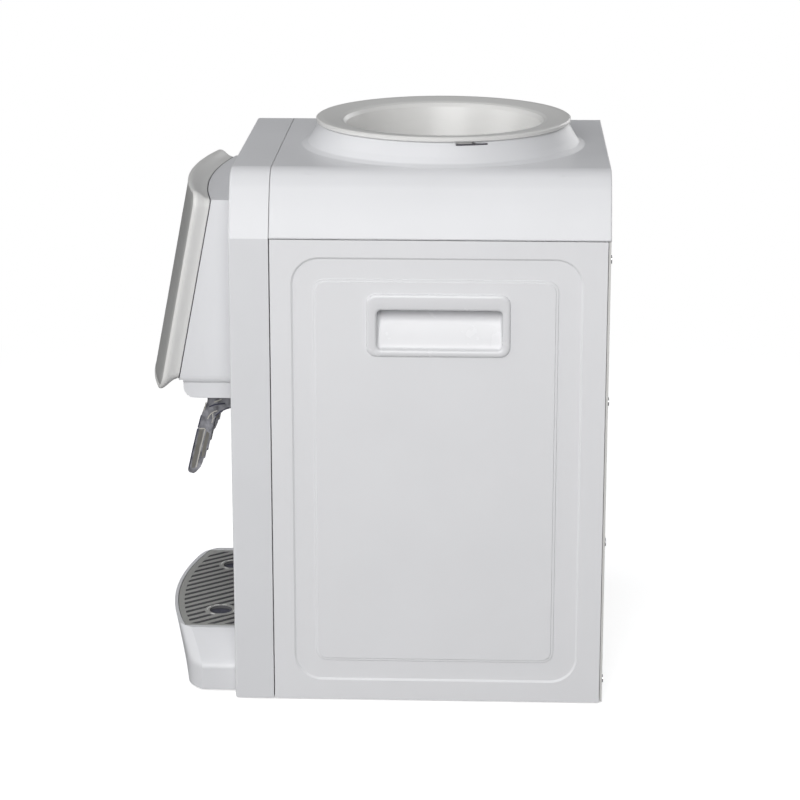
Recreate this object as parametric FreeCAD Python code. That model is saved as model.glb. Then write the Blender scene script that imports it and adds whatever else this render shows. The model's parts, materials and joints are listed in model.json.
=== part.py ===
import FreeCAD, Part
import math
import os
from FreeCAD import Vector

# Countertop hot and cold water dispenser for an inverted bottle.  Millimetres, +Z up.
# The functions below use the casing frame: X across the machine, Y from the front frame's
# face towards the rear, Z from the lower edge of the casing.  save() moves every piece into
# the model's frame, whose origin is the middle of the bounding box at the feet.

# ---------------------------------------------------------------- driving dimensions
HALF_W = 149.15          # casing half width at the side panels
DEPTH = 300.0            # casing depth
FRONT_REACH = 77.2
REAR_REACH = 1.0         # drain cap and screw heads behind the rear panel
FEET_H = 1.5             # gap under the casing
SEAM_Z = 385.0           # joint of side panels and top cover
TOP_Z = 436.0            # flat top
LIP_Z = 458.3            # highest edge of the bottle ring
WALL = 2.5
FRAME_T = 32.0           # front frame thickness
BOTTLE_Y = 165.5         # centre of the bottle ring
RING_R = 105.6
TAP_X = 57.0             # taps sit at plus and minus this
NOZZLE_Y = -18.5
PIVOT_Y = -18.5          # lever axis
PIVOT_Z = 247.0
TRAY_HALF = 98.6         # grille half width
TRAY_TOP = 42.0
RIM_REACH = 65.4         # the rim's front in front of the casing
FOOT_FRONT = 54.7        # and the foot's
GRILLE_HALF = 95.2       # half width of the seat that the grille lies in
TRAY_BOW_R = 309.0       # plan radius of the front at the rim
FOOT_BOW_R = 520.0       # and at the foot
CORNER_EASE = 16.0       # length over which the front's corners ease back
FOOT_HALF = 134.0        # half width of the tray body at the bottom
HOUSING_HALF = 98.6
HOUSING_TOP = 405.5
HOUSING_LOW = 255.7
SKIRT_Z = 240.0
FACE_TILT = 11.0         # degrees that the tap face leans back
FAN_Z = 285.0
PLUNGER_Y = 6.0

SHIFT = Vector(0, (FRONT_REACH - DEPTH - REAR_REACH) / 2.0, FEET_H)
X_AXIS = Vector(1, 0, 0)
Y_AXIS = Vector(0, 1, 0)
Z_AXIS = Vector(0, 0, 1)


# ---------------------------------------------------------------- helpers
def save(name, *solids):
    """Write one node; several solids stay separate in it."""
    moved = []
    for solid in solids:
        piece = solid.copy()
        piece.translate(SHIFT)
        moved.append(piece)
    shape = moved[0] if len(moved) == 1 else Part.makeCompound(moved)
    shape.exportStep("parts/" + name + ".step")
    box = shape.BoundBox
    count = len(shape.Solids)
    state = "" if shape.isValid() else "  INVALID"
    print(f"{name:24s} {count:3d} solids {box.XLength:7.1f} {box.YLength:7.1f} {box.ZLength:7.1f}{state}")


def box(x0, x1, y0, y1, z0, z1):
    return Part.makeBox(x1 - x0, y1 - y0, z1 - z0, Vector(x0, y0, z0))


def rod(radius, start, end):
    """Cylinder between two points."""
    start = Vector(*start)
    end = Vector(*end)
    return Part.makeCylinder(radius, (end - start).Length, start, end - start)


def tube(outer, inner, start, end):
    return rod(outer, start, end).cut(rod(inner, start, end))


def fuse(*shapes):
    whole = shapes[0]
    for shape in shapes[1:]:
        whole = whole.fuse(shape)
    return whole.removeSplitter()


def mirror(shape):
    """The left-hand copy of a right-hand piece."""
    return shape.mirror(Vector(0, 0, 0), X_AXIS)


def prism(points, vector):
    """Closed polygon of 3-D points, swept along a vector."""
    wire = Part.makePolygon([Vector(*p) for p in points] + [Vector(*points[0])])
    return Part.Face(wire).extrude(vector)


def side_prism(points_yz, x0, x1):
    return prism([(x0, y, z) for y, z in points_yz], Vector(x1 - x0, 0, 0))


def ring_profile(points_rz, centre=(0.0, 0.0)):
    """Solid of revolution about a vertical axis."""
    x, y = centre
    wire = Part.makePolygon([Vector(x + r, y, z) for r, z in points_rz + points_rz[:1]])
    return Part.Face(wire).revolve(Vector(x, y, 0), Z_AXIS, 360)


def rounded_wire(origin, u_axis, v_axis, half_u, half_v, radius):
    """Rounded rectangle about an origin, in the plane of two unit vectors."""
    def at(u, v):
        return origin + u_axis * u + v_axis * v

    diagonal = radius * (1 - math.sqrt(0.5))
    edges = []
    corners = [(1, 1), (-1, 1), (-1, -1), (1, -1)]
    for index, (su, sv) in enumerate(corners):
        along_first = index % 2 == 0
        side_a = at(su * half_u, sv * (half_v - radius))
        side_b = at(su * (half_u - radius), sv * half_v)
        start, end = (side_a, side_b) if along_first else (side_b, side_a)
        middle = at(su * (half_u - diagonal), sv * (half_v - diagonal))
        edges.append(Part.Arc(start, middle, end).toShape())
        nu, nv = corners[(index + 1) % 4]
        if along_first:
            following = at(nu * (half_u - radius), nv * half_v)
        else:
            following = at(nu * half_u, nv * (half_v - radius))
        if (following - end).Length > 1e-6:
            edges.append(Part.LineSegment(end, following).toShape())
    return Part.Wire(edges)


def rounded_block(x_mid, y0, y1, z0, z1, half_x, radius):
    """Rounded rectangle in X and Z, swept along Y."""
    wire = rounded_wire(Vector(x_mid, y0, (z0 + z1) / 2), X_AXIS, Z_AXIS, half_x, (z1 - z0) / 2, radius)
    return Part.Face(wire).extrude(Vector(0, y1 - y0, 0))


def side_pad(x0, x1, y0, y1, z0, z1, radius, grow=0.0):
    """Rounded rectangle in Y and Z from x0 to x1; the far end is larger by grow all round."""
    near = rounded_wire(Vector(x0, (y0 + y1) / 2, (z0 + z1) / 2), Y_AXIS, Z_AXIS,
                        (y1 - y0) / 2, (z1 - z0) / 2, radius)
    if grow == 0.0:
        return Part.Face(near).extrude(Vector(x1 - x0, 0, 0))
    far = rounded_wire(Vector(x1, (y0 + y1) / 2, (z0 + z1) / 2), Y_AXIS, Z_AXIS,
                       (y1 - y0) / 2 + grow, (z1 - z0) / 2 + grow, radius + grow)
    return Part.makeLoft([near, far], True, True)


def round_edges(shape, radius, wanted):
    """Fillet the edges that a test on the edge picks."""
    edges = [edge for edge in shape.Edges if wanted(edge)]
    return shape.makeFillet(radius, edges) if edges else shape


def hose(radius, bore, points):
    """Bent tube: straight runs joined by tangent arcs, the arcs as large as the runs allow."""
    points = [Vector(*p) for p in points]
    edges = []
    cursor = points[0]
    for before, corner, after in zip(points, points[1:], points[2:]):
        back = (before - corner).normalize()
        ahead = (after - corner).normalize()
        turn = math.pi - back.getAngle(ahead)
        reach = 0.45 * min((before - corner).Length, (after - corner).Length)
        bend = reach / math.tan(turn / 2)
        print(f"    bend radius {bend:5.1f} on a {2 * radius:.0f} mm tube")
        enter = corner + back * reach
        leave = corner + ahead * reach
        towards = (back + ahead).normalize()
        centre = corner + towards * (bend / math.cos(turn / 2))
        edges.append(Part.LineSegment(cursor, enter).toShape())
        edges.append(Part.Arc(enter, centre - towards * bend, leave).toShape())
        cursor = leave
    edges.append(Part.LineSegment(cursor, points[-1]).toShape())
    path = Part.Wire(edges)
    direction = points[1] - points[0]
    outer = Part.Wire(Part.makeCircle(radius, points[0], direction))
    inner = Part.Wire(Part.makeCircle(bore, points[0], direction))
    body = path.makePipeShell([outer], True, True)
    return body.cut(path.makePipeShell([inner], True, True))


# ---------------------------------------------------------------- casing
def casing_section(inset, y):
    """Half-round shouldered outline of the casing, seen from the front."""
    shoulder = [(108.0, TOP_Z), (126.5, 431.0), (134.0, 421.0), (142.6, 403.0), (HALF_W, SEAM_Z)]
    push = [(0.0, 1.0), (0.6, 0.8), (0.85, 0.55), (0.95, 0.3), (1.0, 0.0)]
    right = []
    for (x, z), (px, pz) in zip(shoulder, push):
        right.append(Vector(x - px * inset, y, z - pz * inset))
    left = [Vector(-p.x, y, p.z) for p in right]
    low_right = Vector(HALF_W - inset, y, inset)
    low_left = Vector(inset - HALF_W, y, inset)
    edges = [
        Part.LineSegment(low_left, low_right),
        Part.LineSegment(low_right, right[4]),
        Part.Arc(right[4], right[3], right[2]),
        Part.Arc(right[2], right[1], right[0]),
        Part.LineSegment(right[0], left[0]),
        Part.Arc(left[0], left[1], left[2]),
        Part.Arc(left[2], left[3], left[4]),
        Part.LineSegment(left[4], low_left),
    ]
    return Part.Wire([edge.toShape() for edge in edges])


def casing_block(inset, y0, y1):
    return Part.Face(casing_section(inset, y0)).extrude(Vector(0, y1 - y0, 0))


NICHE_HALF = 100.6
NICHE_BACK = 26.0
NICHE_LOW = 5.0


def make_front_frame():
    """Front shell with the glass niche, whose back and cheeks are one moulding with it."""
    shell = casing_block(0.0, 0.0, FRAME_T - 0.3)
    shell = round_edges(shell, 2.0, lambda e: e.BoundBox.YLength < 0.01 and e.BoundBox.YMax < 0.01)
    shell = shell.cut(casing_block(WALL, WALL, FRAME_T + 1))
    niche_mid = (NICHE_LOW + SKIRT_Z + 1) / 2
    niche_half_z = (SKIRT_Z + 1 - NICHE_LOW) / 2
    liner = rounded_block(0, 1.0, NICHE_BACK + WALL, niche_mid - niche_half_z - WALL,
                          niche_mid + niche_half_z + WALL, NICHE_HALF + WALL, 12.0)
    hollow = rounded_block(0, -1.0, NICHE_BACK, NICHE_LOW, SKIRT_Z + 1, NICHE_HALF, 10.0)
    floor_gap = box(-HALF_W + 20, HALF_W - 20, -1, NICHE_BACK, -1, 1.0)
    frame = shell.fuse(liner).cut(hollow).cut(floor_gap)
    frame = frame.cut(box(-84, 84, -1, WALL + 1, SKIRT_Z + 5, 392))
    for side in (-1, 1):
        lever_half = LEVER_HALF + 1.2
        x = side * TAP_X
        frame = frame.cut(box(x - lever_half, x + lever_half, -1, 17.0, SKIRT_Z, SKIRT_Z + 6))
    screw_post = []
    for side in (-1, 1):
        for z in (24, 214):
            post = rod(4.0, (side * 126, WALL - 0.5, z), (side * 126, FRAME_T - 1, z))
            screw_post.append(post.cut(rod(1.2, (side * 126, 10, z), (side * 126, FRAME_T, z))))
    return fuse(frame, *screw_post)


PANEL_Y0 = FRAME_T + 0.5
PANEL_Y1 = DEPTH - 2.4
GRIP_Y = (108.3, 221.9)
GRIP_Z = (291.1, 341.5)


def make_side_panel():
    """Pressed side panel: a recessed border band round a raised field, with an opening for the grip."""
    face = HALF_W
    panel = box(face - WALL, face, PANEL_Y0, PANEL_Y1, 0.0, SEAM_Z - 0.6)
    step = 1.2
    slope = 1.6
    outer = side_pad(face - step, face + 0.01, 50.5, 277.4, 18.2, 369.0, 20.5, slope)
    inner = side_pad(face - step - 1, face + 1.0, 66.5, 259.5, 33.7, 353.1, 9.6)
    field = side_pad(face - step - 1, face + 1.0, 68.6, 257.4, 35.8, 351.0, 7.5, 0.0)
    band = outer.cut(inner)
    panel = panel.cut(band)
    easing = side_pad(face + 0.01, face - step, 66.0, 260.0, 33.2, 353.6, 9.0, 0.0)
    panel = panel.cut(easing.cut(field).common(box(face - 0.6, face + 1, 0, DEPTH, 0, SEAM_Z)))
    hole = side_pad(face - 10, face + 2, GRIP_Y[0] + 3.2, GRIP_Y[1] - 3.2, GRIP_Z[0] + 3.2, GRIP_Z[1] - 3.2, 6.0)
    panel = panel.cut(hole)
    flange_low = box(face - 14, face - WALL + 0.2, PANEL_Y0 + 2, PANEL_Y1, 0.0, 1.6)
    flange_rear = box(face - 14, face - WALL + 0.2, PANEL_Y1 - 1.6, PANEL_Y1, 0.0, SEAM_Z - 0.6)
    return fuse(panel, flange_low, flange_rear)


def make_side_grip():
    """Finger grip: a rim that stands proud of the panel and a pocket that undercuts at the top."""
    face = HALF_W
    rim = side_pad(face + 0.1, face + 1.8, GRIP_Y[0], GRIP_Y[1], GRIP_Z[0], GRIP_Z[1], 8.0)
    rim = round_edges(rim, 1.0, lambda e: e.BoundBox.XLength < 0.01 and e.BoundBox.XMin > face + 1.7)
    tub = side_pad(face - 26, face + 0.2, GRIP_Y[0] + 3.5, GRIP_Y[1] - 3.5, GRIP_Z[0] + 3.5, GRIP_Z[1] - 3.5, 5.7)
    scoop = [Vector(face + 3, 116.7, 296.8), Vector(face - 17, 116.7, 309.0), Vector(face - 23.5, 116.7, 330.0)]
    lip = [(face - 23.5, 335.6), (face - 5, 335.6), (face - 5, 331.5), (face - 3, 328.7), (face + 3, 328.7)]
    corners = [scoop[2]] + [Vector(x, 116.7, z) for x, z in lip] + [scoop[0]]
    edges = [Part.LineSegment(a, b).toShape() for a, b in zip(corners, corners[1:])]
    wire = Part.Wire([Part.Arc(*scoop).toShape()] + edges)
    hollow = Part.Face(wire).extrude(Vector(0, 215.6 - 116.7, 0))
    ends = side_pad(face - 30, face + 4, 116.7, 215.6, 296.8, 335.6, 7.0)
    return fuse(rim, tub).cut(hollow.common(ends))


def make_top_cover():
    """Top shell with the conical collar that carries the bottle ring."""
    skin = casing_block(0.0, FRAME_T + 0.1, DEPTH)
    skin = skin.cut(casing_block(WALL, FRAME_T - 1, DEPTH - WALL))
    skin = skin.cut(box(-HALF_W - 1, HALF_W + 1, 0, DEPTH + 1, -1, SEAM_Z))
    outer = ring_profile([(0, TOP_Z - 4), (117.5, TOP_Z - 4), (117.5, TOP_Z), (112.5, TOP_Z + 2.2), (109.3, TOP_Z + 7),
                          (103.2, 454.0), (0, 454.0)], (0, BOTTLE_Y))
    inner = ring_profile([(0, TOP_Z - 8), (106.0, TOP_Z - 8), (106.0, TOP_Z + 3), (99.2, 451.5), (99.2, 456.0),
                          (0, 456.0)], (0, BOTTLE_Y))
    cover = skin.fuse(outer).cut(inner)
    slot = box(96, 108, BOTTLE_Y + 12, BOTTLE_Y + 37, 451.9, 455.0)
    cover = cover.cut(slot)
    bosses = []
    for side in (-1, 1):
        for y in (62, 262):
            boss = rod(4.0, (side * 122, y, SEAM_Z + 1), (side * 122, y, TOP_Z - 4))
            bosses.append(boss.cut(rod(1.3, (side * 122, y, SEAM_Z), (side * 122, y, SEAM_Z + 20))))
    return fuse(cover, *bosses)


def make_rear_panel():
    """Pressed rear panel with fan vents, switch and inlet openings."""
    y0 = DEPTH - 2.0
    panel = box(-HALF_W + 1.0, HALF_W - 1.0, y0, DEPTH - 0.2, 0.5, SEAM_Z - 0.5)
    for row in range(7):
        z = FAN_Z - 36 + row * 12
        reach = math.sqrt(max(46.0 ** 2 - (z - FAN_Z) ** 2, 100.0))
        panel = panel.cut(rounded_block(0, y0 - 1, DEPTH + 1, z - 2.5, z + 2.5, reach, 2.4))
    for side in (-1, 1):
        for row in range(6):
            z = 84 + row * 12
            panel = panel.cut(rounded_block(side * 62, y0 - 1, DEPTH + 1, z - 2.0, z + 2.0, 26, 1.9))
    panel = panel.cut(box(-124.8, -85.2, y0 - 1, DEPTH + 1, 186.2, 213.8))
    panel = panel.cut(box(85.2, 114.8, y0 - 1, DEPTH + 1, 27.2, 48.8))
    panel = panel.cut(rod(9.2, (-96, y0 - 1, 38), (-96, DEPTH + 1, 38)))
    for x, z in screw_spots():
        panel = panel.cut(rod(1.8, (x, y0 - 1, z), (x, DEPTH + 1, z)))
    return panel


def screw_spots():
    return [(side * 136, z) for side in (-1, 1) for z in (16, 134, 252, 368)]


def make_screws():
    """Pan-head screws that hold the rear panel to the side panels' flanges."""
    screws = []
    for x, z in screw_spots():
        head = rod(3.4, (x, DEPTH - 0.1, z), (x, DEPTH + REAR_REACH, z))
        shank = rod(1.5, (x, DEPTH - 1.9, z), (x, DEPTH, z))
        slot = box(x - 2.2, x + 2.2, DEPTH + 0.5, DEPTH + 2, z - 0.4, z + 0.4)
        cross = box(x - 0.4, x + 0.4, DEPTH + 0.5, DEPTH + 2, z - 2.2, z + 2.2)
        screws.append(fuse(head, shank).cut(slot).cut(cross))
    return screws


def make_base_plate():
    plate = box(-HALF_W + 3.2, HALF_W - 3.2, FRAME_T + 1.5, DEPTH - 4.5, 2.0, 4.0)
    lips = [
        box(-HALF_W + 16, HALF_W - 16, FRAME_T + 1.5, FRAME_T + 3.5, 2.0, 16.0),
        box(-HALF_W + 16, HALF_W - 16, DEPTH - 6.5, DEPTH - 4.5, 2.0, 14.0),
    ]
    plate = fuse(plate, *lips)
    for x, y in foot_spots():
        plate = plate.cut(rod(4.1, (x, y, 0), (x, y, 6)))
    plate = plate.cut(rod(10.0, (-96, DEPTH - 8, 38), (-96, DEPTH, 38)))
    return plate


def foot_spots():
    return [(side * 124, y) for side in (-1, 1) for y in (56, 276)]


def make_feet():
    """Rubber feet: a pad under the plate and a stem snapped into it."""
    feet = []
    for x, y in foot_spots():
        pad = rod(11.0, (x, y, -FEET_H), (x, y, 1.9))
        pad = pad.makeFillet(0.8, [e for e in pad.Edges if e.BoundBox.ZMax < -FEET_H + 0.01])
        stem = rod(4.0, (x, y, 1.5), (x, y, 5.0))
        feet.append(fuse(pad, stem))
    return feet


# ---------------------------------------------------------------- bottle seat
def make_bottle_ring():
    """Lip that covers the collar, the funnel that the bottle's shoulder rests on, and its cup."""
    profile = [
        (104.0, 454.3), (RING_R, 455.3), (RING_R, 457.4), (104.4, LIP_Z), (100.0, LIP_Z), (86.0, 456.6),
        (83.0, 455.4), (80.8, 452.6), (78.0, 442.0), (70.0, 420.0), (52.0, 396.0), (45.0, 388.0), (43.0, 380.0),
        (43.0, 352.0), (16.0, 349.0), (16.0, 346.5), (45.5, 349.5), (45.5, 379.5), (47.2, 386.8), (54.2, 394.4),
        (72.3, 418.8), (80.4, 441.2), (83.0, 451.0), (86.0, 453.9), (98.5, 455.2), (98.5, 448.0), (101.0 - 2.0, 448.0),
        (99.0, 454.3),
    ]
    return ring_profile(profile, (0, BOTTLE_Y))


def make_feed_probe():
    """Hollow probe that opens the bottle's cap; water enters by side windows, air leaves by its tip."""
    y = BOTTLE_Y
    profile = [(5.0, 340.0), (15.6, 340.0), (15.6, 351.5), (12.5, 353.0), (11.5, 398.0), (8.0, 408.0), (4.0, 410.5),
               (3.0, 410.5), (3.0, 405.0), (5.0, 400.0)]
    probe = ring_profile(profile, (0, y))
    for turn in range(4):
        window = box(-2.6, 2.6, 3.5, 14, 366, 388)
        window.rotate(Vector(0, 0, 0), Z_AXIS, 45 + 90 * turn)
        window.translate(Vector(0, y, 0))
        probe = probe.cut(window)
    return probe


def make_probe_seal():
    return ring_profile([(15.9, 342.2), (30.0, 342.2), (30.0, 344.8), (22.0, 346.0), (15.9, 346.0)], (0, BOTTLE_Y))


# ---------------------------------------------------------------- tap housing
def tilted_cylinder(radius, y_front, z_ref):
    """Large cylinder whose axis leans with the tap face; its front line passes y_front at z_ref."""
    lean = math.radians(FACE_TILT)
    axis = Vector(0, -math.sin(lean), -math.cos(lean))
    middle = Vector(0, y_front + radius / math.cos(lean), z_ref)
    start = middle - axis * 400
    return Part.makeCylinder(radius, 800, start, axis)


SEAM_BOW_R = 470.0
RIM_BOW_R = 360.0
SEAM_FRONT = -28.5       # seam between housing and bezel at the middle, at HOUSING_TOP
FLARE_SIDE = 6.2         # the bezel flares this far beyond the housing at the sides and top
FLARE_LOW = 8.6          # and this far at the bottom
RIM_FRONT = -46.7        # bezel rim at the middle, at HOUSING_TOP


def housing_side(offset):
    """Side outline of the housing: upper box and a skirt with a rounded front corner."""
    r = 9.0
    low = SKIRT_Z + offset
    front = -44.0 + offset
    arc = [(front + r - r * math.sin(a), low + r - r * math.cos(a))
           for a in [math.radians(d) for d in (0, 22.5, 45, 67.5, 90)]]
    return [(0.0, low)] + arc + [(front, HOUSING_LOW + offset), (-80.0, HOUSING_LOW + offset),
                                 (-80.0, HOUSING_TOP - offset), (0.0, HOUSING_TOP - offset)]


def housing_front(offset):
    """Block with the front outline of the housing: the sides round in to a slightly narrower skirt."""
    half = HOUSING_HALF - offset
    side = [(half, 420.0)]
    for degrees in (0, 22.5, 45, 67.5, 90):
        angle = math.radians(degrees)
        side.append((half - 3.2 * (1 - math.cos(angle)), 259.5 - 6.3 * math.sin(angle)))
    side.append((half - 3.2, 230.0))
    outline = side + [(-x, z) for x, z in reversed(side)]
    return prism([(x, -90.0, z) for x, z in outline], Vector(0, 100, 0))


def make_tap_housing():
    """Shell that carries the taps: an upper box with a bowed, leaning front edge and a lower skirt."""
    outer = side_prism(housing_side(0.0), -HOUSING_HALF, HOUSING_HALF)
    outer = round_edges(outer, 2.0, lambda e: e.BoundBox.XLength > 1 and e.BoundBox.ZMin > HOUSING_TOP - 1)
    outer = outer.common(tilted_cylinder(SEAM_BOW_R, SEAM_FRONT, HOUSING_TOP)).common(housing_front(0.0))
    inner = side_prism(housing_side(WALL), WALL - HOUSING_HALF, HOUSING_HALF - WALL)
    inner = inner.common(housing_front(WALL))
    inner = inner.common(box(-120, 120, -90, -0.01 + 1, 200, 420))
    shell = outer.cut(inner)
    for side in (-1, 1):
        x = side * TAP_X
        shell = shell.cut(box(x - 17.5, x + 17.5, -36, 1, SKIRT_Z - 5, SKIRT_Z + 5))
    return shell


def bowed_y(x, z, radius, y_front):
    """Y on the leaning, bowed surface whose middle is at y_front at HOUSING_TOP."""
    sag = radius - math.sqrt(radius * radius - x * x)
    return y_front + sag - (HOUSING_TOP - z) * math.tan(math.radians(FACE_TILT))


def housing_prism(side, low, radius):
    """Rounded block along Y, larger than the housing by side at the sides and top and by low at the bottom."""
    half_v = (HOUSING_TOP + side - HOUSING_LOW + low) / 2
    middle = Vector(0, -120, HOUSING_LOW - low + half_v)
    wire = rounded_wire(middle, X_AXIS, Z_AXIS, HOUSING_HALF + side, half_v, radius)
    return Part.Face(wire).extrude(Vector(0, 140, 0))


def outline_points(side, low, radius):
    """Points round the same rounded rectangle, as (x, z)."""
    half = HOUSING_HALF + side
    top = HOUSING_TOP + side
    floor = HOUSING_LOW - low
    centres = [(half - radius, top - radius), (radius - half, top - radius),
               (radius - half, floor + radius), (half - radius, floor + radius)]
    points = []
    for index, (cx, cz) in enumerate(centres):
        for step in range(7):
            angle = math.radians(90 * index + 15 * step)
            points.append((cx + radius * math.cos(angle), cz + radius * math.sin(angle)))
        begin = points[-1]
        nx, nz = centres[(index + 1) % 4]
        angle = math.radians(90 * (index + 1))
        end = (nx + radius * math.cos(angle), nz + radius * math.sin(angle))
        for share in (0.08, 0.3, 0.5, 0.7, 0.92):
            points.append((begin[0] + (end[0] - begin[0]) * share, begin[1] + (end[1] - begin[1]) * share))
    return points


def bezel_wire(share, forward, flat_y=None):
    """Closed curve round the bezel at a share of its flare, from the seam, 0, forward to the rim, 1."""
    points = []
    for x, z in outline_points(FLARE_SIDE * share, FLARE_LOW * share, 7.0 + 6.0 * share):
        y = bowed_y(x, z, SEAM_BOW_R, SEAM_FRONT) * (1 - forward) + bowed_y(x, z, RIM_BOW_R, RIM_FRONT) * forward
        points.append(Vector(x, y if flat_y is None else flat_y, z))
    curve = Part.BSplineCurve()
    curve.interpolate(Points=points, PeriodicFlag=True)
    return Part.Wire([curve.toShape()])


# Flare of the bezel: share of its full size, and how far forward from the seam to the rim.
FLARE = [(0.0, 0.0), (0.02, 0.06), (0.06, 0.14), (0.14, 0.24), (0.27, 0.34), (0.43, 0.44), (0.60, 0.54), (0.76, 0.63),
         (0.89, 0.72), (0.97, 0.80), (1.0, 0.87), (0.985, 0.93), (0.93, 0.97), (0.85, 0.99)]


def make_bezel():
    """Flared ring between the housing and the face panel."""
    wires = [bezel_wire(share, forward) for share, forward in FLARE]
    back = bezel_wire(0.0, 0.0, 10.0)
    front = bezel_wire(FLARE[-1][0], 1.0, -120.0)
    faces = [Part.Face(back), Part.Face(front)]
    faces += Part.makeLoft(wires, False, False).Faces
    faces += Part.makeLoft([back, wires[0]], False, True).Faces
    faces += Part.makeLoft([wires[-1], front], False, True).Faces
    shell = Part.makeShell(faces)
    shell.sewShape()
    flare = Part.makeSolid(shell)
    if flare.Volume < 0:
        flare.reverse()
    flare = flare.common(tilted_cylinder(RIM_BOW_R, RIM_FRONT, HOUSING_TOP))
    flare = flare.cut(tilted_cylinder(SEAM_BOW_R, SEAM_FRONT - 0.3, HOUSING_TOP))
    ring = flare.cut(housing_prism(-3.7, -5.2, 5.0))
    seat = housing_prism(FLARE_SIDE * 0.61, FLARE_LOW * 0.61, 10.6)
    return ring.cut(seat.cut(tilted_cylinder(RIM_BOW_R, RIM_FRONT + 3.4, HOUSING_TOP)))


def make_face_panel():
    """Bowed front plate in the bezel, with windows for three indicator lenses."""
    plate = housing_prism(FLARE_SIDE * 0.55, FLARE_LOW * 0.55, 10.2)
    plate = plate.common(tilted_cylinder(RIM_BOW_R, RIM_FRONT + 0.6, HOUSING_TOP))
    plate = plate.cut(tilted_cylinder(RIM_BOW_R, RIM_FRONT + 2.7, HOUSING_TOP))
    for x in LENS_X:
        plate = plate.cut(rod(3.1, (x, -80, LENS_Z), (x, 0, LENS_Z)))
    return plate


LENS_X = (-24.0, 0.0, 24.0)
LENS_Z = 378.0


def make_lenses():
    lenses = []
    for x in LENS_X:
        body = rod(3.0, (x, -80, LENS_Z), (x, 0, LENS_Z))
        body = body.common(tilted_cylinder(RIM_BOW_R, RIM_FRONT + 0.2, HOUSING_TOP))
        body = body.cut(tilted_cylinder(RIM_BOW_R, RIM_FRONT + 5.0, HOUSING_TOP))
        lenses.append(body)
    return lenses


# ---------------------------------------------------------------- taps
LEVER_HALF = 12.6
LEVER_T = 2.0
LEVER_SIDE = [
    (-27.6, 252.0), (-27.6, 230.0), (-29.0, 225.0), (-32.8, 218.5), (-36.5, 203.7), (-45.1, 170.0), (-44.4, 168.0),
    (-40.6, 167.0), (-38.4, 168.3), (-34.6, 172.5), (-32.6, 177.0), (-31.8, 180.0), (-30.6, 180.6), (-28.9, 188.6),
    (-27.6, 189.6), (-25.4, 199.0), (-23.2, 209.5), (-21.6, 215.0), (-18.6, 219.4), (-14.0, 222.2), (-8.0, 224.0),
    (10.0, 229.0), (12.0, 232.0), (12.0, 239.0), (3.0, 240.4), (-9.0, 245.0), (-11.0, 252.0), (-15.0, 254.0),
    (-24.0, 254.0),
]


def make_lever(x):
    """Clear push lever: two cheeks, a front web that guides the water, and a lifting bar at the rear."""
    cheeks = side_prism(LEVER_SIDE, x - LEVER_HALF, x + LEVER_HALF)
    gap = [(-25.6, 260.0), (-25.6, 231.0), (-27.2, 225.6), (-30.8, 219.0), (-34.5, 204.2), (-42.6, 171.6),
           (-40.4, 169.8), (-20.0, 169.8), (20.0, 169.8), (20.0, 260.0)]
    slot = side_prism(gap, x - LEVER_HALF + LEVER_T, x + LEVER_HALF - LEVER_T)
    bar = box(x - LEVER_HALF, x + LEVER_HALF, 3.0, 9.0, 233.0, 238.6)
    lever = fuse(cheeks.cut(slot), bar)
    return lever.cut(rod(1.55, (x - 20, PIVOT_Y, PIVOT_Z), (x + 20, PIVOT_Y, PIVOT_Z)))


def make_stub_pins(x):
    pins = []
    for side in (-1, 1):
        pins.append(rod(1.5, (x + side * 10.2, PIVOT_Y, PIVOT_Z), (x + side * 16.4, PIVOT_Y, PIVOT_Z)))
    return pins


def make_tap_body(x):
    """Valve body with ears for the lever, a passage to the nozzle and a barbed inlet at the rear."""
    chamber = rod(11.0, (x, PLUNGER_Y, 252.0), (x, PLUNGER_Y, 284.0))
    arm = box(x - 9.0, x + 9.0, -26.0, PLUNGER_Y, 258.0, 274.0)
    plate = box(x - 16.4, x + 16.4, -26.0, -11.0, 258.0, 262.0)
    body = fuse(chamber, arm, plate)
    for side in (-1, 1):
        low, high = sorted((x + side * 13.0, x + side * 16.4))
        body = body.fuse(box(low, high, -24.0, -12.5, 242.8, 260.0))
    body = body.fuse(rod(5.0, (x, PLUNGER_Y + 8, 276.0), (x, PLUNGER_Y + 26, 276.0)))
    body = body.cut(rod(8.0, (x, PLUNGER_Y, 264.0), (x, PLUNGER_Y, 281.5)))
    body = body.cut(rod(3.1, (x, PLUNGER_Y, 250.0), (x, PLUNGER_Y, 266.0)))
    body = body.cut(rod(3.2, (x, PLUNGER_Y + 6, 276.0), (x, PLUNGER_Y + 28, 276.0)))
    body = body.cut(rod(3.2, (x, NOZZLE_Y, 268.0), (x, PLUNGER_Y - 4, 268.0)))
    body = body.cut(rod(3.2, (x, NOZZLE_Y, 250.0), (x, NOZZLE_Y, 270.0)))
    for side in (-1, 1):
        body = body.cut(rod(1.5, (x + side * 12, PIVOT_Y, PIVOT_Z), (x + side * 18, PIVOT_Y, PIVOT_Z)))
    return body.removeSplitter()


def make_nozzle(x):
    profile = [(3.2, 232.0), (4.4, 232.0), (4.8, 234.0), (4.8, 254.0), (7.0, 254.0), (7.0, 257.8), (3.2, 257.8)]
    return ring_profile(profile, (x, NOZZLE_Y))


def make_plunger(x):
    """Stem that the lever's bar lifts, with a collar that carries the sealing face."""
    return ring_profile([(0, 239.0), (3.0, 239.0), (3.0, 264.4), (7.2, 264.4), (7.2, 266.2), (0, 266.2)],
                        (x, PLUNGER_Y))


def make_valve_spring(x):
    """Compression spring over the plunger's collar, drawn as stacked rings."""
    coils = []
    for turn in range(5):
        ring = Part.makeTorus(5.6, 0.45, Vector(x, PLUNGER_Y, 267.2 + 2.6 * turn), Z_AXIS)
        coils.append(ring)
    return coils


def make_lock_button(x):
    """Hot tap safety button in the lever's web."""
    cap = side_prism([(-41.4, 187.0), (-38.6, 199.0), (-34.2, 198.0), (-37.0, 186.0)], x - 5.0, x + 5.0)
    return cap


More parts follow.
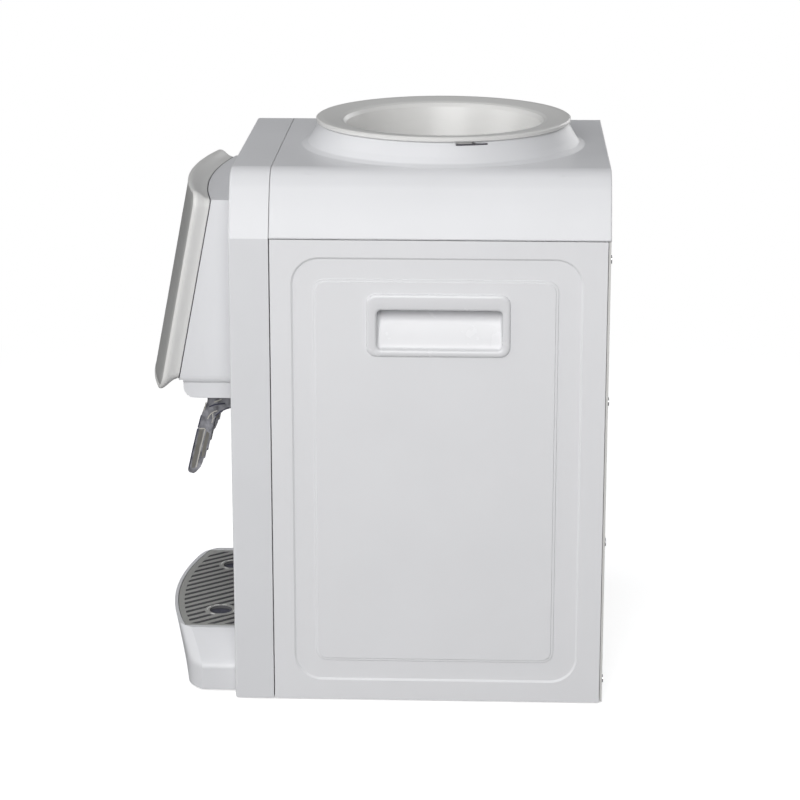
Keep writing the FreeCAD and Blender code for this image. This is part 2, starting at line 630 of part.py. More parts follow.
# ---------------------------------------------------------------- drip tray
# Round shoulder between the tray's straight side and its rim: height, and half width there.
SHOULDER = [(19.0, 134.0), (21.5, 133.3), (24.0, 131.3), (27.0, 127.0), (32.0, 118.6), (37.0, 109.9), (40.3, 103.8)]


def tray_section(z, half):
    """Plan of the tray body at one height: a bowed front with eased corners and a straight back."""
    share = z / TRAY_TOP
    front = -(FOOT_FRONT + (RIM_REACH - FOOT_FRONT) * share)
    bow = 1 / FOOT_BOW_R + (1 / TRAY_BOW_R - 1 / FOOT_BOW_R) * share
    points = []
    for part in (-1.0, -0.975, -0.95, -0.9, -0.8, -0.5, 0.0, 0.5, 0.8, 0.9, 0.95, 0.975, 1.0):
        x = part * half
        easing = max(0.0, abs(x) - (half - CORNER_EASE))
        points.append(Vector(x, front + x * x * bow / 2 + 0.5 * easing * easing / CORNER_EASE, z))
    curve = Part.BSplineCurve()
    curve.interpolate(points)
    back = -0.3
    corners = [Vector(half, back, z), Vector(-half, back, z)]
    edges = [
        curve.toShape(),
        Part.LineSegment(points[-1], corners[0]).toShape(),
        Part.LineSegment(corners[0], corners[1]).toShape(),
        Part.LineSegment(corners[1], points[0]).toShape(),
    ]
    return Part.Wire(edges)


def tray_outer():
    """Tray body outside: the front leans back towards the foot and the sides round over to the rim."""
    straight = Part.makeLoft([tray_section(z, FOOT_HALF) for z in (0.6, 7.0, 13.0, 19.0)], True, False)
    shoulder = Part.makeLoft([tray_section(z, half) for z, half in SHOULDER], True, False)
    brow = Part.makeLoft([tray_section(*SHOULDER[-1]), tray_section(TRAY_TOP, TRAY_HALF + 1.6)], True, True)
    return straight.fuse(shoulder).fuse(brow)


def make_drip_tray():
    """Basin under the grille; its rear half slides into the niche."""
    body = tray_outer()
    rear = rounded_block(0, -8.0, NICHE_BACK - 0.8, 6.0, TRAY_TOP + 20, TRAY_HALF + 0.9, 10.0)
    rear = rear.cut(box(-120, 120, -10, 40, TRAY_TOP, TRAY_TOP + 30))
    body = body.fuse(rear)
    basin = box(3.0 - GRILLE_HALF, GRILLE_HALF - 3.0, -41.0, NICHE_BACK - 4.0, 10.0, TRAY_TOP + 1)
    basin = round_edges(basin, 5.0, lambda e: e.BoundBox.ZMax < 10.01 and e.BoundBox.ZLength < 0.01)
    bow = Part.makeCylinder(300.0, 4.0, Vector(0, -62.6 + 300.0, TRAY_TOP - 3.4), Z_AXIS)
    bow = bow.common(box(-GRILLE_HALF, GRILLE_HALF, -70, NICHE_BACK - 2.4, 0, 60))
    basin_front = Part.makeCylinder(300.0, 40.0, Vector(0, -57.5 + 300.0, 10.0), Z_AXIS)
    basin_front = basin_front.common(box(6 - GRILLE_HALF, GRILLE_HALF - 6, -70, -20, 10.0, 60))
    return body.cut(basin).cut(basin_front).cut(bow).removeSplitter()


HOLE_Y = -21.3
HOLE_R = 9.6
SLOT_ANGLE = 39.0
SLOT_PITCH = 9.0
SLOT_W = 4.2


def make_drip_grille():
    """Flat grille: slanted slots, cut short round the two drain holes under the nozzles."""
    low = TRAY_TOP - 3.0
    high = TRAY_TOP - 0.4
    plate = Part.makeCylinder(300.0, high - low, Vector(0, -62.2 + 300.0, low), Z_AXIS)
    plate = plate.common(box(0.4 - GRILLE_HALF, GRILLE_HALF - 0.4, -70, NICHE_BACK - 2.8, 0, 60))
    field = Part.makeCylinder(300.0, 10, Vector(0, -57.0 + 300.0, low - 3), Z_AXIS)
    field = field.common(box(4.5 - GRILLE_HALF, GRILLE_HALF - 4.5, -70, NICHE_BACK - 8.0, 0, 60))
    for side in (-1, 1):
        guard = Part.makeCylinder(HOLE_R + 4.0, 20, Vector(side * TAP_X, HOLE_Y, low - 5), Z_AXIS)
        field = field.cut(guard)
    angle = math.radians(SLOT_ANGLE)
    along = Vector(-math.sin(angle), math.cos(angle), 0)
    across = Vector(math.cos(angle), math.sin(angle), 0)
    for index in range(-13, 13):
        middle = across * (index * SLOT_PITCH - 5.4) + Vector(0, -20, low - 1)
        ends = [middle - along * 90, middle + along * 90]
        half = across * (SLOT_W / 2)
        strip = prism([tuple(ends[0] - half), tuple(ends[0] + half), tuple(ends[1] + half), tuple(ends[1] - half)],
                      Vector(0, 0, 8))
        cutter = strip.common(field)
        if cutter.Solids:
            plate = plate.cut(cutter)
    for side in (-1, 1):
        plate = plate.cut(rod(HOLE_R, (side * TAP_X, HOLE_Y, low - 1), (side * TAP_X, HOLE_Y, high + 1)))
    return plate


# ---------------------------------------------------------------- water side
COLD_Y = BOTTLE_Y


def make_cold_tank():
    outer = rod(60.0, (0, COLD_Y, 232), (0, COLD_Y, 338))
    tank = outer.cut(rod(59.0, (0, COLD_Y, 233), (0, COLD_Y, 337)))
    neck = tube(33.0, 31.0, (0, COLD_Y, 336), (0, COLD_Y, 345))
    tank = tank.cut(rod(31.0, (0, COLD_Y, 335), (0, COLD_Y, 340))).fuse(neck)
    return tank.cut(rod(4.0, (TAP_X - 30, COLD_Y - 40, 230), (TAP_X - 30, COLD_Y - 40, 235)))


def make_cold_insulation():
    """Two foam half shells round the cold tank, open at the cooling block."""
    halves = []
    for side in (-1, 1):
        shell = tube(76.0, 60.4, (0, COLD_Y, 222), (0, COLD_Y, 341))
        floor = rod(60.4, (0, COLD_Y, 222), (0, COLD_Y, 231.6))
        shell = shell.fuse(floor)
        low, high = sorted((side * 0.2, side * 90))
        shell = shell.common(box(low, high, 0, DEPTH, 200, 360))
        shell = shell.cut(box(-31, 31, COLD_Y + 40, DEPTH, 252, 318))
        shell = shell.cut(rod(7.0, (TAP_X - 30, COLD_Y - 40, 215), (TAP_X - 30, COLD_Y - 40, 240)))
        halves.append(shell.cut(rod(8.0, (0, COLD_Y, 215), (0, COLD_Y, 240))))
    return halves


def make_baffle():
    plate = rod(57.5, (0, COLD_Y, 300), (0, COLD_Y, 301.5))
    plate = plate.cut(rod(5.0, (0, COLD_Y, 299), (0, COLD_Y, 303)))
    for turn in range(6):
        angle = math.radians(60 * turn)
        x = 48 * math.cos(angle)
        y = COLD_Y + 48 * math.sin(angle)
        plate = plate.cut(rod(3.0, (x, y, 299), (x, y, 303)))
    return plate


HOT_Y = 118.0


def make_hot_tank():
    outer = rod(46.0, (0, HOT_Y, 66), (0, HOT_Y, 170))
    tank = outer.cut(rod(45.0, (0, HOT_Y, 67), (0, HOT_Y, 169)))
    return tank.cut(rod(5.1, (-14, HOT_Y, 60), (-14, HOT_Y, 70))).cut(rod(5.1, (14, HOT_Y, 60), (14, HOT_Y, 70)))


def make_hot_insulation():
    halves = []
    for side in (-1, 1):
        shell = tube(60.0, 46.4, (0, HOT_Y, 58), (0, HOT_Y, 178))
        lid = rod(46.4, (0, HOT_Y, 170.4), (0, HOT_Y, 178)).cut(rod(14, (0, HOT_Y, 160), (0, HOT_Y, 180)))
        low, high = sorted((side * 0.2, side * 70))
        half = shell.fuse(lid).common(box(low, high, 0, DEPTH, 40, 200))
        halves.append(half.cut(box(-16, 16, HOT_Y + 40, HOT_Y + 70, 90, 150)))
    return halves


def make_heater():
    """Immersion element: a hairpin that enters through the hot tank's floor."""
    legs = [rod(4.0, (x, HOT_Y, 52), (x, HOT_Y, 140)) for x in (-14, 14)]
    bend = Part.makeTorus(14.0, 4.0, Vector(0, HOT_Y, 140), Y_AXIS)
    bend = bend.common(box(-20, 20, HOT_Y - 6, HOT_Y + 6, 140, 160))
    nuts = [rod(7.5, (x, HOT_Y, 59), (x, HOT_Y, 65.8)) for x in (-14, 14)]
    return fuse(*legs, bend, *nuts)


def make_thermostats():
    cans = []
    for z in (104, 134):
        can = rod(8.0, (0, HOT_Y + 46.8, z), (0, HOT_Y + 54, z))
        tab = box(-12, 12, HOT_Y + 47.2, HOT_Y + 48.2, z - 3, z + 3)
        cans.append(fuse(can, tab))
    return cans


def make_tank_cradle():
    """Bracket that stands the hot tank on the base plate."""
    ring = tube(58.0, 40.0, (0, HOT_Y, 48.0), (0, HOT_Y, 50.0))
    legs = []
    for turn in range(4):
        angle = math.radians(45 + 90 * turn)
        x = 50 * math.cos(angle)
        y = HOT_Y + 50 * math.sin(angle)
        legs.append(rod(4.0, (x, y, 4.3), (x, y, 57.6)))
    return fuse(ring, *legs)


# ---------------------------------------------------------------- cooling
def make_cooling_block():
    """Aluminium block whose hollow face fits the tank's wall."""
    block = box(-28, 28, COLD_Y + 40, COLD_Y + 74, 255, 315)
    return block.cut(rod(60.3, (0, COLD_Y, 250), (0, COLD_Y, 320)))


def make_thermoelectric():
    y = COLD_Y + 74.2
    ceramic = [box(-20, 20, y, y + 0.8, 265, 305), box(-20, 20, y + 3.0, y + 3.8, 265, 305)]
    core = box(-18.5, 18.5, y + 0.8, y + 3.0, 266.5, 303.5)
    return fuse(ceramic[0], core, ceramic[1])


def make_heat_sink():
    y = COLD_Y + 78.3
    base = box(-50, 50, y, y + 6, FAN_Z - 45, FAN_Z + 45)
    fins = []
    for index in range(17):
        x = -48 + 6 * index
        fins.append(box(x - 0.7, x + 0.7, y + 5.8, y + 22, FAN_Z - 45, FAN_Z + 45))
    return fuse(base, *fins)


FAN_Y0 = COLD_Y + 101.0
FAN_Y1 = COLD_Y + 126.0


def make_fan_frame():
    frame = rounded_block(0, FAN_Y0, FAN_Y1, FAN_Z - 46, FAN_Z + 46, 46, 4)
    frame = frame.cut(rod(43.5, (0, FAN_Y0 - 1, FAN_Z), (0, FAN_Y1 + 1, FAN_Z)))
    hub = rod(16.0, (0, FAN_Y1 - 3, FAN_Z), (0, FAN_Y1, FAN_Z))
    spokes = []
    for turn in range(4):
        arm = box(14, 44.5, FAN_Y1 - 2.5, FAN_Y1, FAN_Z - 1.6, FAN_Z + 1.6)
        arm.rotate(Vector(0, 0, FAN_Z), Y_AXIS, 20 + 90 * turn)
        spokes.append(arm)
    frame = fuse(frame, hub, *spokes)
    for sx in (-1, 1):
        for sz in (-1, 1):
            x = sx * 41.2
            z = FAN_Z + sz * 41.2
            frame = frame.cut(rod(2.1, (x, FAN_Y0 - 1, z), (x, FAN_Y1 + 1, z)))
    return frame.cut(rod(2.05, (0, FAN_Y1 - 5, FAN_Z), (0, FAN_Y1 - 1, FAN_Z)))


def make_fan_rotor():
    y0 = FAN_Y0 + 2
    hub = rod(16.5, (0, y0, FAN_Z), (0, FAN_Y1 - 4, FAN_Z))
    axle = rod(2.0, (0, y0, FAN_Z), (0, FAN_Y1 - 1.4, FAN_Z))
    blades = []
    for turn in range(7):
        blade = prism([(15.5, y0 + 2, FAN_Z - 5.5), (15.5, y0 + 3.6, FAN_Z - 5.5), (15.5, y0 + 15.6, FAN_Z + 5.5),
                       (15.5, y0 + 14, FAN_Z + 5.5)], Vector(25.0, 0, 0))
        blade.rotate(Vector(0, 0, FAN_Z), Y_AXIS, turn * 360.0 / 7)
        blades.append(blade)
    return fuse(hub, axle, *blades)


# ---------------------------------------------------------------- electrics
def make_power_supply():
    can = box(62, 128, 180, 264, 4.3, 56)
    can = can.makeFillet(2.0, [e for e in can.Edges if e.BoundBox.ZLength > 40])
    for row in range(6):
        can = can.cut(box(66 + row * 10, 70 + row * 10, 190, 254, 54.5, 57))
    return can


def make_control_board():
    board = box(-140.0, -138.4, 60, 180, 70, 170)
    relay = box(-138.4, -122, 80, 100, 90, 118)
    relay_b = box(-138.4, -122, 110, 130, 90, 118)
    connector = box(-138.4, -130, 70, 150, 150, 160)
    posts = [rod(2.5, (-146.3, y, z), (-140, y, z)) for y in (66, 174) for z in (76, 164)]
    return fuse(board, relay, relay_b, connector, *posts)


SWITCH_Z = 200.0
SWITCH_X = (-115.0, -95.0)


def make_switch_frames():
    """Snap-in frames of the hot and cold rocker switches."""
    frames = []
    for x in SWITCH_X:
        body = box(x - 9.5, x + 9.5, DEPTH - 18, DEPTH - 0.1, SWITCH_Z - 13.5, SWITCH_Z + 13.5)
        hollow = box(x - 7.0, x + 7.0, DEPTH - 14, DEPTH + 1, SWITCH_Z - 10.5, SWITCH_Z + 10.5)
        frames.append(body.cut(hollow).cut(rod(1.25, (x - 9.6, DEPTH - 6, SWITCH_Z), (x + 9.6, DEPTH - 6, SWITCH_Z))))
    return frames


def make_rocker(x):
    """Rocker with two paddles that meet at a shallow angle; it rests with its upper half out."""
    profile = [(DEPTH - 1.0, SWITCH_Z), (DEPTH - 0.8, SWITCH_Z + 9.0), (DEPTH - 9, SWITCH_Z + 7.0),
               (DEPTH - 10.5, SWITCH_Z), (DEPTH - 9, SWITCH_Z - 7.0), (DEPTH - 3.9, SWITCH_Z - 8.8)]
    rocker = side_prism(profile, x - 6.6, x + 6.6)
    pin = rod(1.2, (x - 9.2, DEPTH - 6, SWITCH_Z), (x + 9.2, DEPTH - 6, SWITCH_Z))
    return fuse(rocker, pin)


def make_power_inlet():
    """Appliance inlet: a recess with three blades for a detachable cord."""
    body = box(85.4, 114.6, DEPTH - 24, DEPTH - 0.1, 27.4, 48.6)
    flange = box(82.5, 117.5, DEPTH - 3.6, DEPTH - 2.2, 25.0, 51.0)
    recess = box(88.0, 112.0, DEPTH - 18, DEPTH + 1, 30.2, 45.8)
    inlet = fuse(body, flange).cut(recess)
    blades = [box(x - 1, x + 1, DEPTH - 19, DEPTH - 6, z - 2, z + 2) for x, z in ((93, 36.5), (107, 36.5), (100, 40.5))]
    return fuse(inlet, *blades)


DRAIN_X = -96.0
DRAIN_Z = 38.0


def make_drain_fitting():
    """Outlet for emptying the tanks: a flanged spout that stops inside the rear panel."""
    spout = rod(9.0, (DRAIN_X, DEPTH - 20, DRAIN_Z), (DRAIN_X, DEPTH - 6.4, DRAIN_Z))
    flange = rod(14.0, (DRAIN_X, DEPTH - 8.4, DRAIN_Z), (DRAIN_X, DEPTH - 6.4, DRAIN_Z))
    tail = rod(4.5, (DRAIN_X, DEPTH - 34, DRAIN_Z), (DRAIN_X, DEPTH - 19, DRAIN_Z))
    fitting = fuse(spout, flange, tail)
    fitting = fitting.cut(rod(5.05, (DRAIN_X, DEPTH - 17, DRAIN_Z), (DRAIN_X, DEPTH, DRAIN_Z)))
    return fitting.cut(rod(2.6, (DRAIN_X, DEPTH - 36, DRAIN_Z), (DRAIN_X, DEPTH - 15, DRAIN_Z)))


def make_drain_cap():
    """Screw cap with a coin slot."""
    plug = rod(5.0, (DRAIN_X, DEPTH - 16, DRAIN_Z), (DRAIN_X, DEPTH - 6.2, DRAIN_Z))
    head = rod(8.6, (DRAIN_X, DEPTH - 6.2, DRAIN_Z), (DRAIN_X, DEPTH + REAR_REACH, DRAIN_Z))
    cap = fuse(plug, head)
    return cap.cut(box(DRAIN_X - 7, DRAIN_X + 7, DEPTH - 1.5, DEPTH + 3, DRAIN_Z - 1, DRAIN_Z + 1))


# ---------------------------------------------------------------- hoses
def make_cold_hose():
    x = TAP_X - 30
    return hose(4.0, 2.6, [(x, COLD_Y - 40, 231.0), (x, COLD_Y - 40, 212.0), (x + 6, 92, 204.0), (x + 22, 66, 214.0),
                           (TAP_X, 48, 250.0), (TAP_X, 42, 276.0), (TAP_X, PLUNGER_Y + 26.2, 276.0)])


def make_hot_hose():
    return hose(4.0, 2.6, [(0, HOT_Y, 170.2), (0, HOT_Y, 190.0), (-14, HOT_Y - 20, 202.0), (-38, 72, 214.0),
                           (-TAP_X, 50, 244.0), (-TAP_X, 44, 276.0), (-TAP_X, PLUNGER_Y + 26.2, 276.0)])


def make_feed_hose():
    return hose(5.0, 3.4, [(0, COLD_Y, 231.8), (0, COLD_Y, 208.0), (8, COLD_Y + 22, 190.0), (16, COLD_Y + 36, 150.0),
                           (16, COLD_Y + 36, 90.0), (14, COLD_Y + 22, 40.0), (12, HOT_Y + 30, 26.0),
                           (0, HOT_Y, 34.0), (0, HOT_Y, 65.8)])


def make_drain_hose():
    return hose(4.0, 2.6, [(-28, HOT_Y, 65.8), (-28, HOT_Y, 38.0), (-52, HOT_Y + 8, 24.0), (-76, HOT_Y + 74, 24.0),
                           (DRAIN_X, DEPTH - 70, 36.0), (DRAIN_X, DEPTH - 34.2, DRAIN_Z)])


# ---------------------------------------------------------------- build
def main():
    os.makedirs("parts", exist_ok=True)
    save("front_frame", make_front_frame())
    panel = make_side_panel()
    grip = make_side_grip()
    save("side_panel_right", panel)
    save("side_panel_left", mirror(panel))
    save("side_grip_right", grip)
    save("side_grip_left", mirror(grip))
    save("top_cover", make_top_cover())
    save("rear_panel", make_rear_panel())
    save("rear_screws", *make_screws())
    save("base_plate", make_base_plate())
    save("rubber_feet", *make_feet())
    save("bottle_ring", make_bottle_ring())
    save("feed_probe", make_feed_probe())
    save("probe_seal", make_probe_seal())
    save("tap_housing", make_tap_housing())
    save("tap_bezel", make_bezel())
    save("face_panel", make_face_panel())
    save("indicator_lenses", *make_lenses())
    for name, x in (("cold", TAP_X), ("hot", -TAP_X)):
        save(name + "_tap_body", make_tap_body(x))
        save(name + "_nozzle", make_nozzle(x))
        save(name + "_plunger", make_plunger(x))
        save(name + "_valve_spring", *make_valve_spring(x))
        save(name + "_lever_pins", *make_stub_pins(x))
    save("cold_lever", make_lever(TAP_X))
    button = make_lock_button(-TAP_X)
    save("hot_lever", make_lever(-TAP_X).cut(side_prism(
        [(-44.0, 186.4), (-41.0, 199.6), (-30.0, 197.0), (-33.0, 183.8)], -TAP_X - 5.4, -TAP_X + 5.4)))
    save("hot_lock_button", button)
    save("drip_tray", make_drip_tray())
    save("drip_grille", make_drip_grille())
    save("cold_tank", make_cold_tank())
    save("cold_insulation", *make_cold_insulation())
    save("tank_baffle", make_baffle())
    save("hot_tank", make_hot_tank())
    save("hot_insulation", *make_hot_insulation())
    save("heating_element", make_heater())
    save("thermostats", *make_thermostats())
    save("tank_cradle", make_tank_cradle())
    save("cooling_block", make_cooling_block())
    save("thermoelectric_module", make_thermoelectric())
    save("heat_sink", make_heat_sink())
    save("fan_frame", make_fan_frame())
    save("fan_rotor", make_fan_rotor())
    save("power_supply", make_power_supply())
    save("control_board", make_control_board())
    save("switch_frames", *make_switch_frames())
    save("hot_switch_rocker", make_rocker(SWITCH_X[0]))
    save("cold_switch_rocker", make_rocker(SWITCH_X[1]))
    save("power_inlet", make_power_inlet())
    save("drain_fitting", make_drain_fitting())
    save("drain_cap", make_drain_cap())
    save("cold_hose", make_cold_hose())
    save("hot_hose", make_hot_hose())
    save("feed_hose", make_feed_hose())
    save("drain_hose", make_drain_hose())


main()
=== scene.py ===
"""Looks of the countertop water dispenser: finishes, finer pieces, studio and camera."""

import json
import math

import bpy
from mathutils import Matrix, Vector


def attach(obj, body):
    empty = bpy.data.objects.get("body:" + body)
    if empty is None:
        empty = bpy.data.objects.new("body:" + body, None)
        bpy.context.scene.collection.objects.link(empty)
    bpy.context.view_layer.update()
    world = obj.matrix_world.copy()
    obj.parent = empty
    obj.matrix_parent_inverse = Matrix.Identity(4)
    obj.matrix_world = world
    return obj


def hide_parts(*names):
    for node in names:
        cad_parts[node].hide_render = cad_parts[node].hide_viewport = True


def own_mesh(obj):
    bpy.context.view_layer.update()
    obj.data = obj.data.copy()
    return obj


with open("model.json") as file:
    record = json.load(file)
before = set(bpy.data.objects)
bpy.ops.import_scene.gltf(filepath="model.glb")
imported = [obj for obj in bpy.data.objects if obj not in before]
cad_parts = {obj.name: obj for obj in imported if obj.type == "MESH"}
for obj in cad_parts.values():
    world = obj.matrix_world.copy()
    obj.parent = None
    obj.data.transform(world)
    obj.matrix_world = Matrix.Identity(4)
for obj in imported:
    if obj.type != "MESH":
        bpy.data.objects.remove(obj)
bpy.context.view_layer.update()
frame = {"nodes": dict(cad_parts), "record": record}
NODES = frame["nodes"]

FRAME_Y = -111.9      # the casing's front face in the row frame, mm
FRAME_Z = 1.5         # the casing's lower edge in the row frame, mm


def place(x, y, z):
    """A point given from the casing's front face and lower edge in mm, as metres in the row frame."""
    return Vector((x / 1000, (y + FRAME_Y) / 1000, (z + FRAME_Z) / 1000))


# ---------------------------------------------------------------- finishes

def new_material(name):
    material = bpy.data.materials.new(name)
    material.use_nodes = True
    tree = material.node_tree
    return material, tree, tree.nodes["Principled BSDF"]


def noise(tree, coords, scale, detail=3.0, stretch=(1, 1, 1)):
    """Noise in metres: scale is in cycles per metre."""
    mapping = tree.nodes.new("ShaderNodeMapping")
    mapping.inputs["Scale"].default_value = stretch
    tree.links.new(coords, mapping.inputs["Vector"])
    texture = tree.nodes.new("ShaderNodeTexNoise")
    texture.inputs["Scale"].default_value = scale
    texture.inputs["Detail"].default_value = detail
    tree.links.new(mapping.outputs["Vector"], texture.inputs["Vector"])
    return texture.outputs["Fac"]


def ranged(tree, value, low, high):
    """The noise value spread from low to high."""
    node = tree.nodes.new("ShaderNodeMapRange")
    node.inputs["From Min"].default_value = 0.3
    node.inputs["From Max"].default_value = 0.7
    node.inputs["To Min"].default_value = low
    node.inputs["To Max"].default_value = high
    tree.links.new(value, node.inputs["Value"])
    return node.outputs["Result"]


def tinted(tree, factor, dark, light):
    node = tree.nodes.new("ShaderNodeMix")
    node.data_type = "RGBA"
    node.inputs["A"].default_value = (*dark, 1)
    node.inputs["B"].default_value = (*light, 1)
    tree.links.new(factor, node.inputs["Factor"])
    return node.outputs["Result"]


PLASTIC_IOR = 1.49


def finish_of(name, color, rough, rough_span=0.05, tone=0.02, cloud=14, grain=1400, depth=0.02, metallic=0.0,
              coat=0.0, bevel=0.0005, stretch=(1, 1, 1), clear=0.0):
    """A finish with slow tone changes, uneven roughness and a fine surface grain.

    rough_span and tone are the spreads of roughness and colour, cloud and grain are cycles per metre,
    and bevel is the radius in metres that softens edges in the shading.
    """
    material, tree, shader = new_material(name)
    coords = tree.nodes.new("ShaderNodeTexCoord").outputs["Object"]
    slow = ranged(tree, noise(tree, coords, cloud), 0.0, 1.0)
    dark = tuple(c * (1 - tone) for c in color)
    light = tuple(min(1.0, c * (1 + tone)) for c in color)
    tree.links.new(tinted(tree, slow, dark, light), shader.inputs["Base Color"])
    wear = noise(tree, coords, cloud * 5, 5.0, stretch)
    tree.links.new(ranged(tree, wear, rough - rough_span, rough + rough_span), shader.inputs["Roughness"])
    fine = noise(tree, coords, grain, 4.0, stretch)
    bump = tree.nodes.new("ShaderNodeBump")
    bump.inputs["Strength"].default_value = depth * 5
    bump.inputs["Distance"].default_value = 0.0002
    tree.links.new(fine, bump.inputs["Height"])
    if bevel:
        edge = tree.nodes.new("ShaderNodeBevel")
        edge.samples = 4
        edge.inputs["Radius"].default_value = bevel
        tree.links.new(edge.outputs["Normal"], bump.inputs["Normal"])
    tree.links.new(bump.outputs["Normal"], shader.inputs["Normal"])
    shader.inputs["Metallic"].default_value = metallic
    shader.inputs["Coat Weight"].default_value = coat
    shader.inputs["Coat Roughness"].default_value = 0.2
    shader.inputs["Specular IOR Level"].default_value = 0.5
    shader.inputs["Transmission Weight"].default_value = clear
    shader.inputs["IOR"].default_value = PLASTIC_IOR
    return material


FINISHES = {
    "shell_white": dict(color=(0.735, 0.738, 0.755), rough=0.40, rough_span=0.02, coat=0.05, tone=0.01),
    "panel_white": dict(color=(0.79, 0.79, 0.805), rough=0.46, rough_span=0.03, tone=0.01, grain=900,
                        depth=0.03),
    "warm_white": dict(color=(0.74, 0.735, 0.72), rough=0.34, rough_span=0.02, coat=0.08, tone=0.01,
                       bevel=0),
    "grip_white": dict(color=(0.765, 0.765, 0.78), rough=0.26, rough_span=0.02, coat=0.15, tone=0.01,
                       bevel=0),
    "face_grey": dict(color=(0.42, 0.42, 0.41), rough=0.34, coat=0.2, tone=0.03),
    "grille_grey": dict(color=(0.36, 0.36, 0.345), rough=0.55, tone=0.06, grain=2200, depth=0.06,
                        bevel=0.0003),
    "tap_white": dict(color=(0.82, 0.82, 0.80), rough=0.4),
    "probe_white": dict(color=(0.80, 0.80, 0.79), rough=0.35),
    "seal_silicone": dict(color=(0.72, 0.72, 0.69), rough=0.5, clear=0.2),
    "hose_silicone": dict(color=(0.74, 0.74, 0.71), rough=0.45, clear=0.3),
    "feet_rubber": dict(color=(0.035, 0.035, 0.035), rough=0.8, tone=0.15, depth=0.12),
    "zinc_steel": dict(color=(0.56, 0.57, 0.58), rough=0.38, metallic=1.0, tone=0.06, cloud=30,
                       rough_span=0.1),
    "stainless": dict(color=(0.60, 0.60, 0.60), rough=0.3, metallic=1.0, stretch=(1, 1, 30), tone=0.04),
    "screw_steel": dict(color=(0.62, 0.62, 0.63), rough=0.25, metallic=1.0),
    "foam_white": dict(color=(0.84, 0.84, 0.82), rough=0.9, grain=500, depth=0.3, bevel=0),
    "felt_grey": dict(color=(0.34, 0.34, 0.33), rough=0.95, grain=1500, depth=0.5, tone=0.15, bevel=0),
    "aluminium": dict(color=(0.72, 0.72, 0.73), rough=0.35, metallic=1.0, stretch=(1, 1, 12)),
    "ceramic_white": dict(color=(0.84, 0.84, 0.82), rough=0.5),
    "fan_black": dict(color=(0.03, 0.03, 0.03), rough=0.5, tone=0.1),
    "board_green": dict(color=(0.03, 0.14, 0.06), rough=0.4, coat=0.2, tone=0.1),
    "switch_black": dict(color=(0.03, 0.03, 0.03), rough=0.42, tone=0.1),
    "rocker_red": dict(color=(0.48, 0.03, 0.025), rough=0.28, coat=0.2),
    "rocker_green": dict(color=(0.03, 0.28, 0.09), rough=0.28, coat=0.2),
    "button_red": dict(color=(0.52, 0.04, 0.03), rough=0.3, coat=0.2),
    "inlet_black": dict(color=(0.03, 0.03, 0.032), rough=0.5, tone=0.1),
    "lens_clear": dict(color=(0.75, 0.25, 0.15), rough=0.15, clear=0.6, bevel=0),
    "rear_warm": dict(color=(0.68, 0.675, 0.655), rough=0.45, tone=0.02, grain=900, depth=0.04),
}
MATERIALS = {name: finish_of(name, **look) for name, look in FINISHES.items()}


def smoked(name, core=(0.20, 0.20, 0.22), shine=(0.52, 0.52, 0.56)):
    """Clear smoked plastic: pale where it is seen through, with painted shade that darkens it where the
    surface turns away.
    """
    material, tree, shader = new_material(name)
    coords = tree.nodes.new("ShaderNodeTexCoord").outputs["Object"]
    streaks = noise(tree, coords, 210, 2.0, (1, 1.0, 0.8))
    tone = tinted(tree, ranged(tree, streaks, 0.0, 1.0), core, shine)
    # Painted shade: the colour goes to near black as the surface turns away from the view.
    grazing_shade_mask = tree.nodes.new("ShaderNodeLayerWeight")
    grazing_shade_mask.inputs["Blend"].default_value = 0.3
    edge = tree.nodes.new("ShaderNodeMix")
    edge.data_type = "RGBA"
    edge.inputs["B"].default_value = (0.02, 0.02, 0.035, 1)
    tree.links.new(grazing_shade_mask.outputs["Facing"], edge.inputs["Factor"])
    tree.links.new(tone, edge.inputs["A"])
    tree.links.new(edge.outputs["Result"], shader.inputs["Base Color"])
    tree.links.new(ranged(tree, noise(tree, coords, 90), 0.08, 0.2), shader.inputs["Roughness"])
    bump = tree.nodes.new("ShaderNodeBump")
    bump.inputs["Strength"].default_value = 0.3
    bump.inputs["Distance"].default_value = 0.0003
    tree.links.new(streaks, bump.inputs["Height"])
    rim = tree.nodes.new("ShaderNodeBevel")
    rim.samples = 4
    rim.inputs["Radius"].default_value = 0.0009
    tree.links.new(rim.outputs["Normal"], bump.inputs["Normal"])
    tree.links.new(bump.outputs["Normal"], shader.inputs["Normal"])
    shader.inputs["Transmission Weight"].default_value = 0.35
    shader.inputs["IOR"].default_value = 1.5
    return material


MATERIALS["clear_smoke"] = smoked("clear_smoke")


def paint_wall_shade(material, wall_shade):
    """Painted shade: mixes the finish to a darker tone on faces that don't look up, such as the walls of
    slots, where shade falls.
    """
    tree = material.node_tree
    shader = tree.nodes["Principled BSDF"]
    tone = shader.inputs["Base Color"].links[0].from_socket
    parts = tree.nodes.new("ShaderNodeSeparateXYZ")
    tree.links.new(tree.nodes.new("ShaderNodeNewGeometry").outputs["True Normal"], parts.inputs["Vector"])
    upward = tree.nodes.new("ShaderNodeMapRange")
    upward.inputs["From Min"].default_value = 0.5
    upward.inputs["From Max"].default_value = 0.8
    tree.links.new(parts.outputs["Z"], upward.inputs["Value"])
    mix = tree.nodes.new("ShaderNodeMix")
    mix.data_type = "RGBA"
    mix.inputs["A"].default_value = (*wall_shade, 1)
    tree.links.new(upward.outputs["Result"], mix.inputs["Factor"])
    tree.links.new(tone, mix.inputs["B"])
    tree.links.new(mix.outputs["Result"], shader.inputs["Base Color"])


# The grille's slot walls get painted shade, dark grey where the faces turn away from the top.
paint_wall_shade(MATERIALS["grille_grey"], (0.12, 0.12, 0.125))
# Painted shade: a dark finish for sheets set in gaps and slots where shade falls.
GAP_SHADE = finish_of("painted_gap_shade", (0.07, 0.065, 0.08), 0.7)
COVER_FINISH = finish_of("cover_white", bevel=0.0022, **FINISHES["shell_white"])


